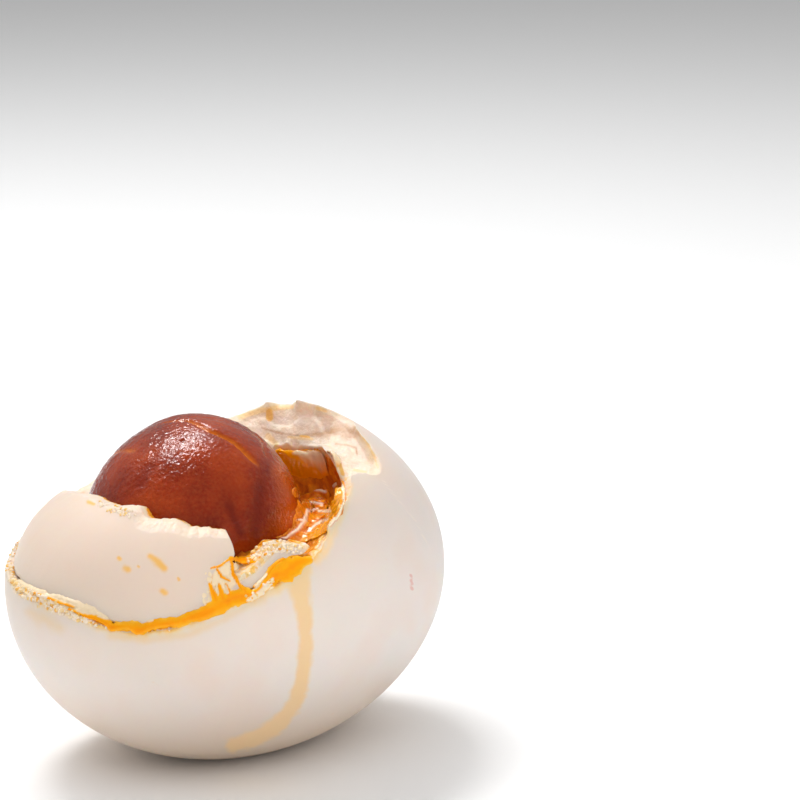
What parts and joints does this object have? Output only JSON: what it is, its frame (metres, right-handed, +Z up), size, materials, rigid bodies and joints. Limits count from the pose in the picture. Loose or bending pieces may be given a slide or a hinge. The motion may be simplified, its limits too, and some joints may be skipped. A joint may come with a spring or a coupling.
{
  "type": "salted duck egg",
  "caption": "Peeled boiled salted duck egg lying on its side, broken open over its blunt end so that the oily yolk shows in its socket.",
  "frame": {"origin": "under the middle of the egg, on the flat spot that it rests on", "axes": "+X along the egg from its blunt end to its pointed end, +Z up, +Y to the far side, away from the shown side"},
  "size_m": [0.0562, 0.042, 0.0392],
  "materials": {
    "egg_white": "satin boiled egg white, cream with a pink cast",
    "salted_yolk": "dark red-brown cured yolk, finely pebbled and wet with oil",
    "yolk_oil": "wet clear orange egg oil"
  },
  "bodies": {
    "root": {"egg_white": "egg_white", "loose_slab": "egg_white", "white_chip": "egg_white", "yolk": "salted_yolk", "yolk_oil": "yolk_oil"}
  },
  "joints": []
}
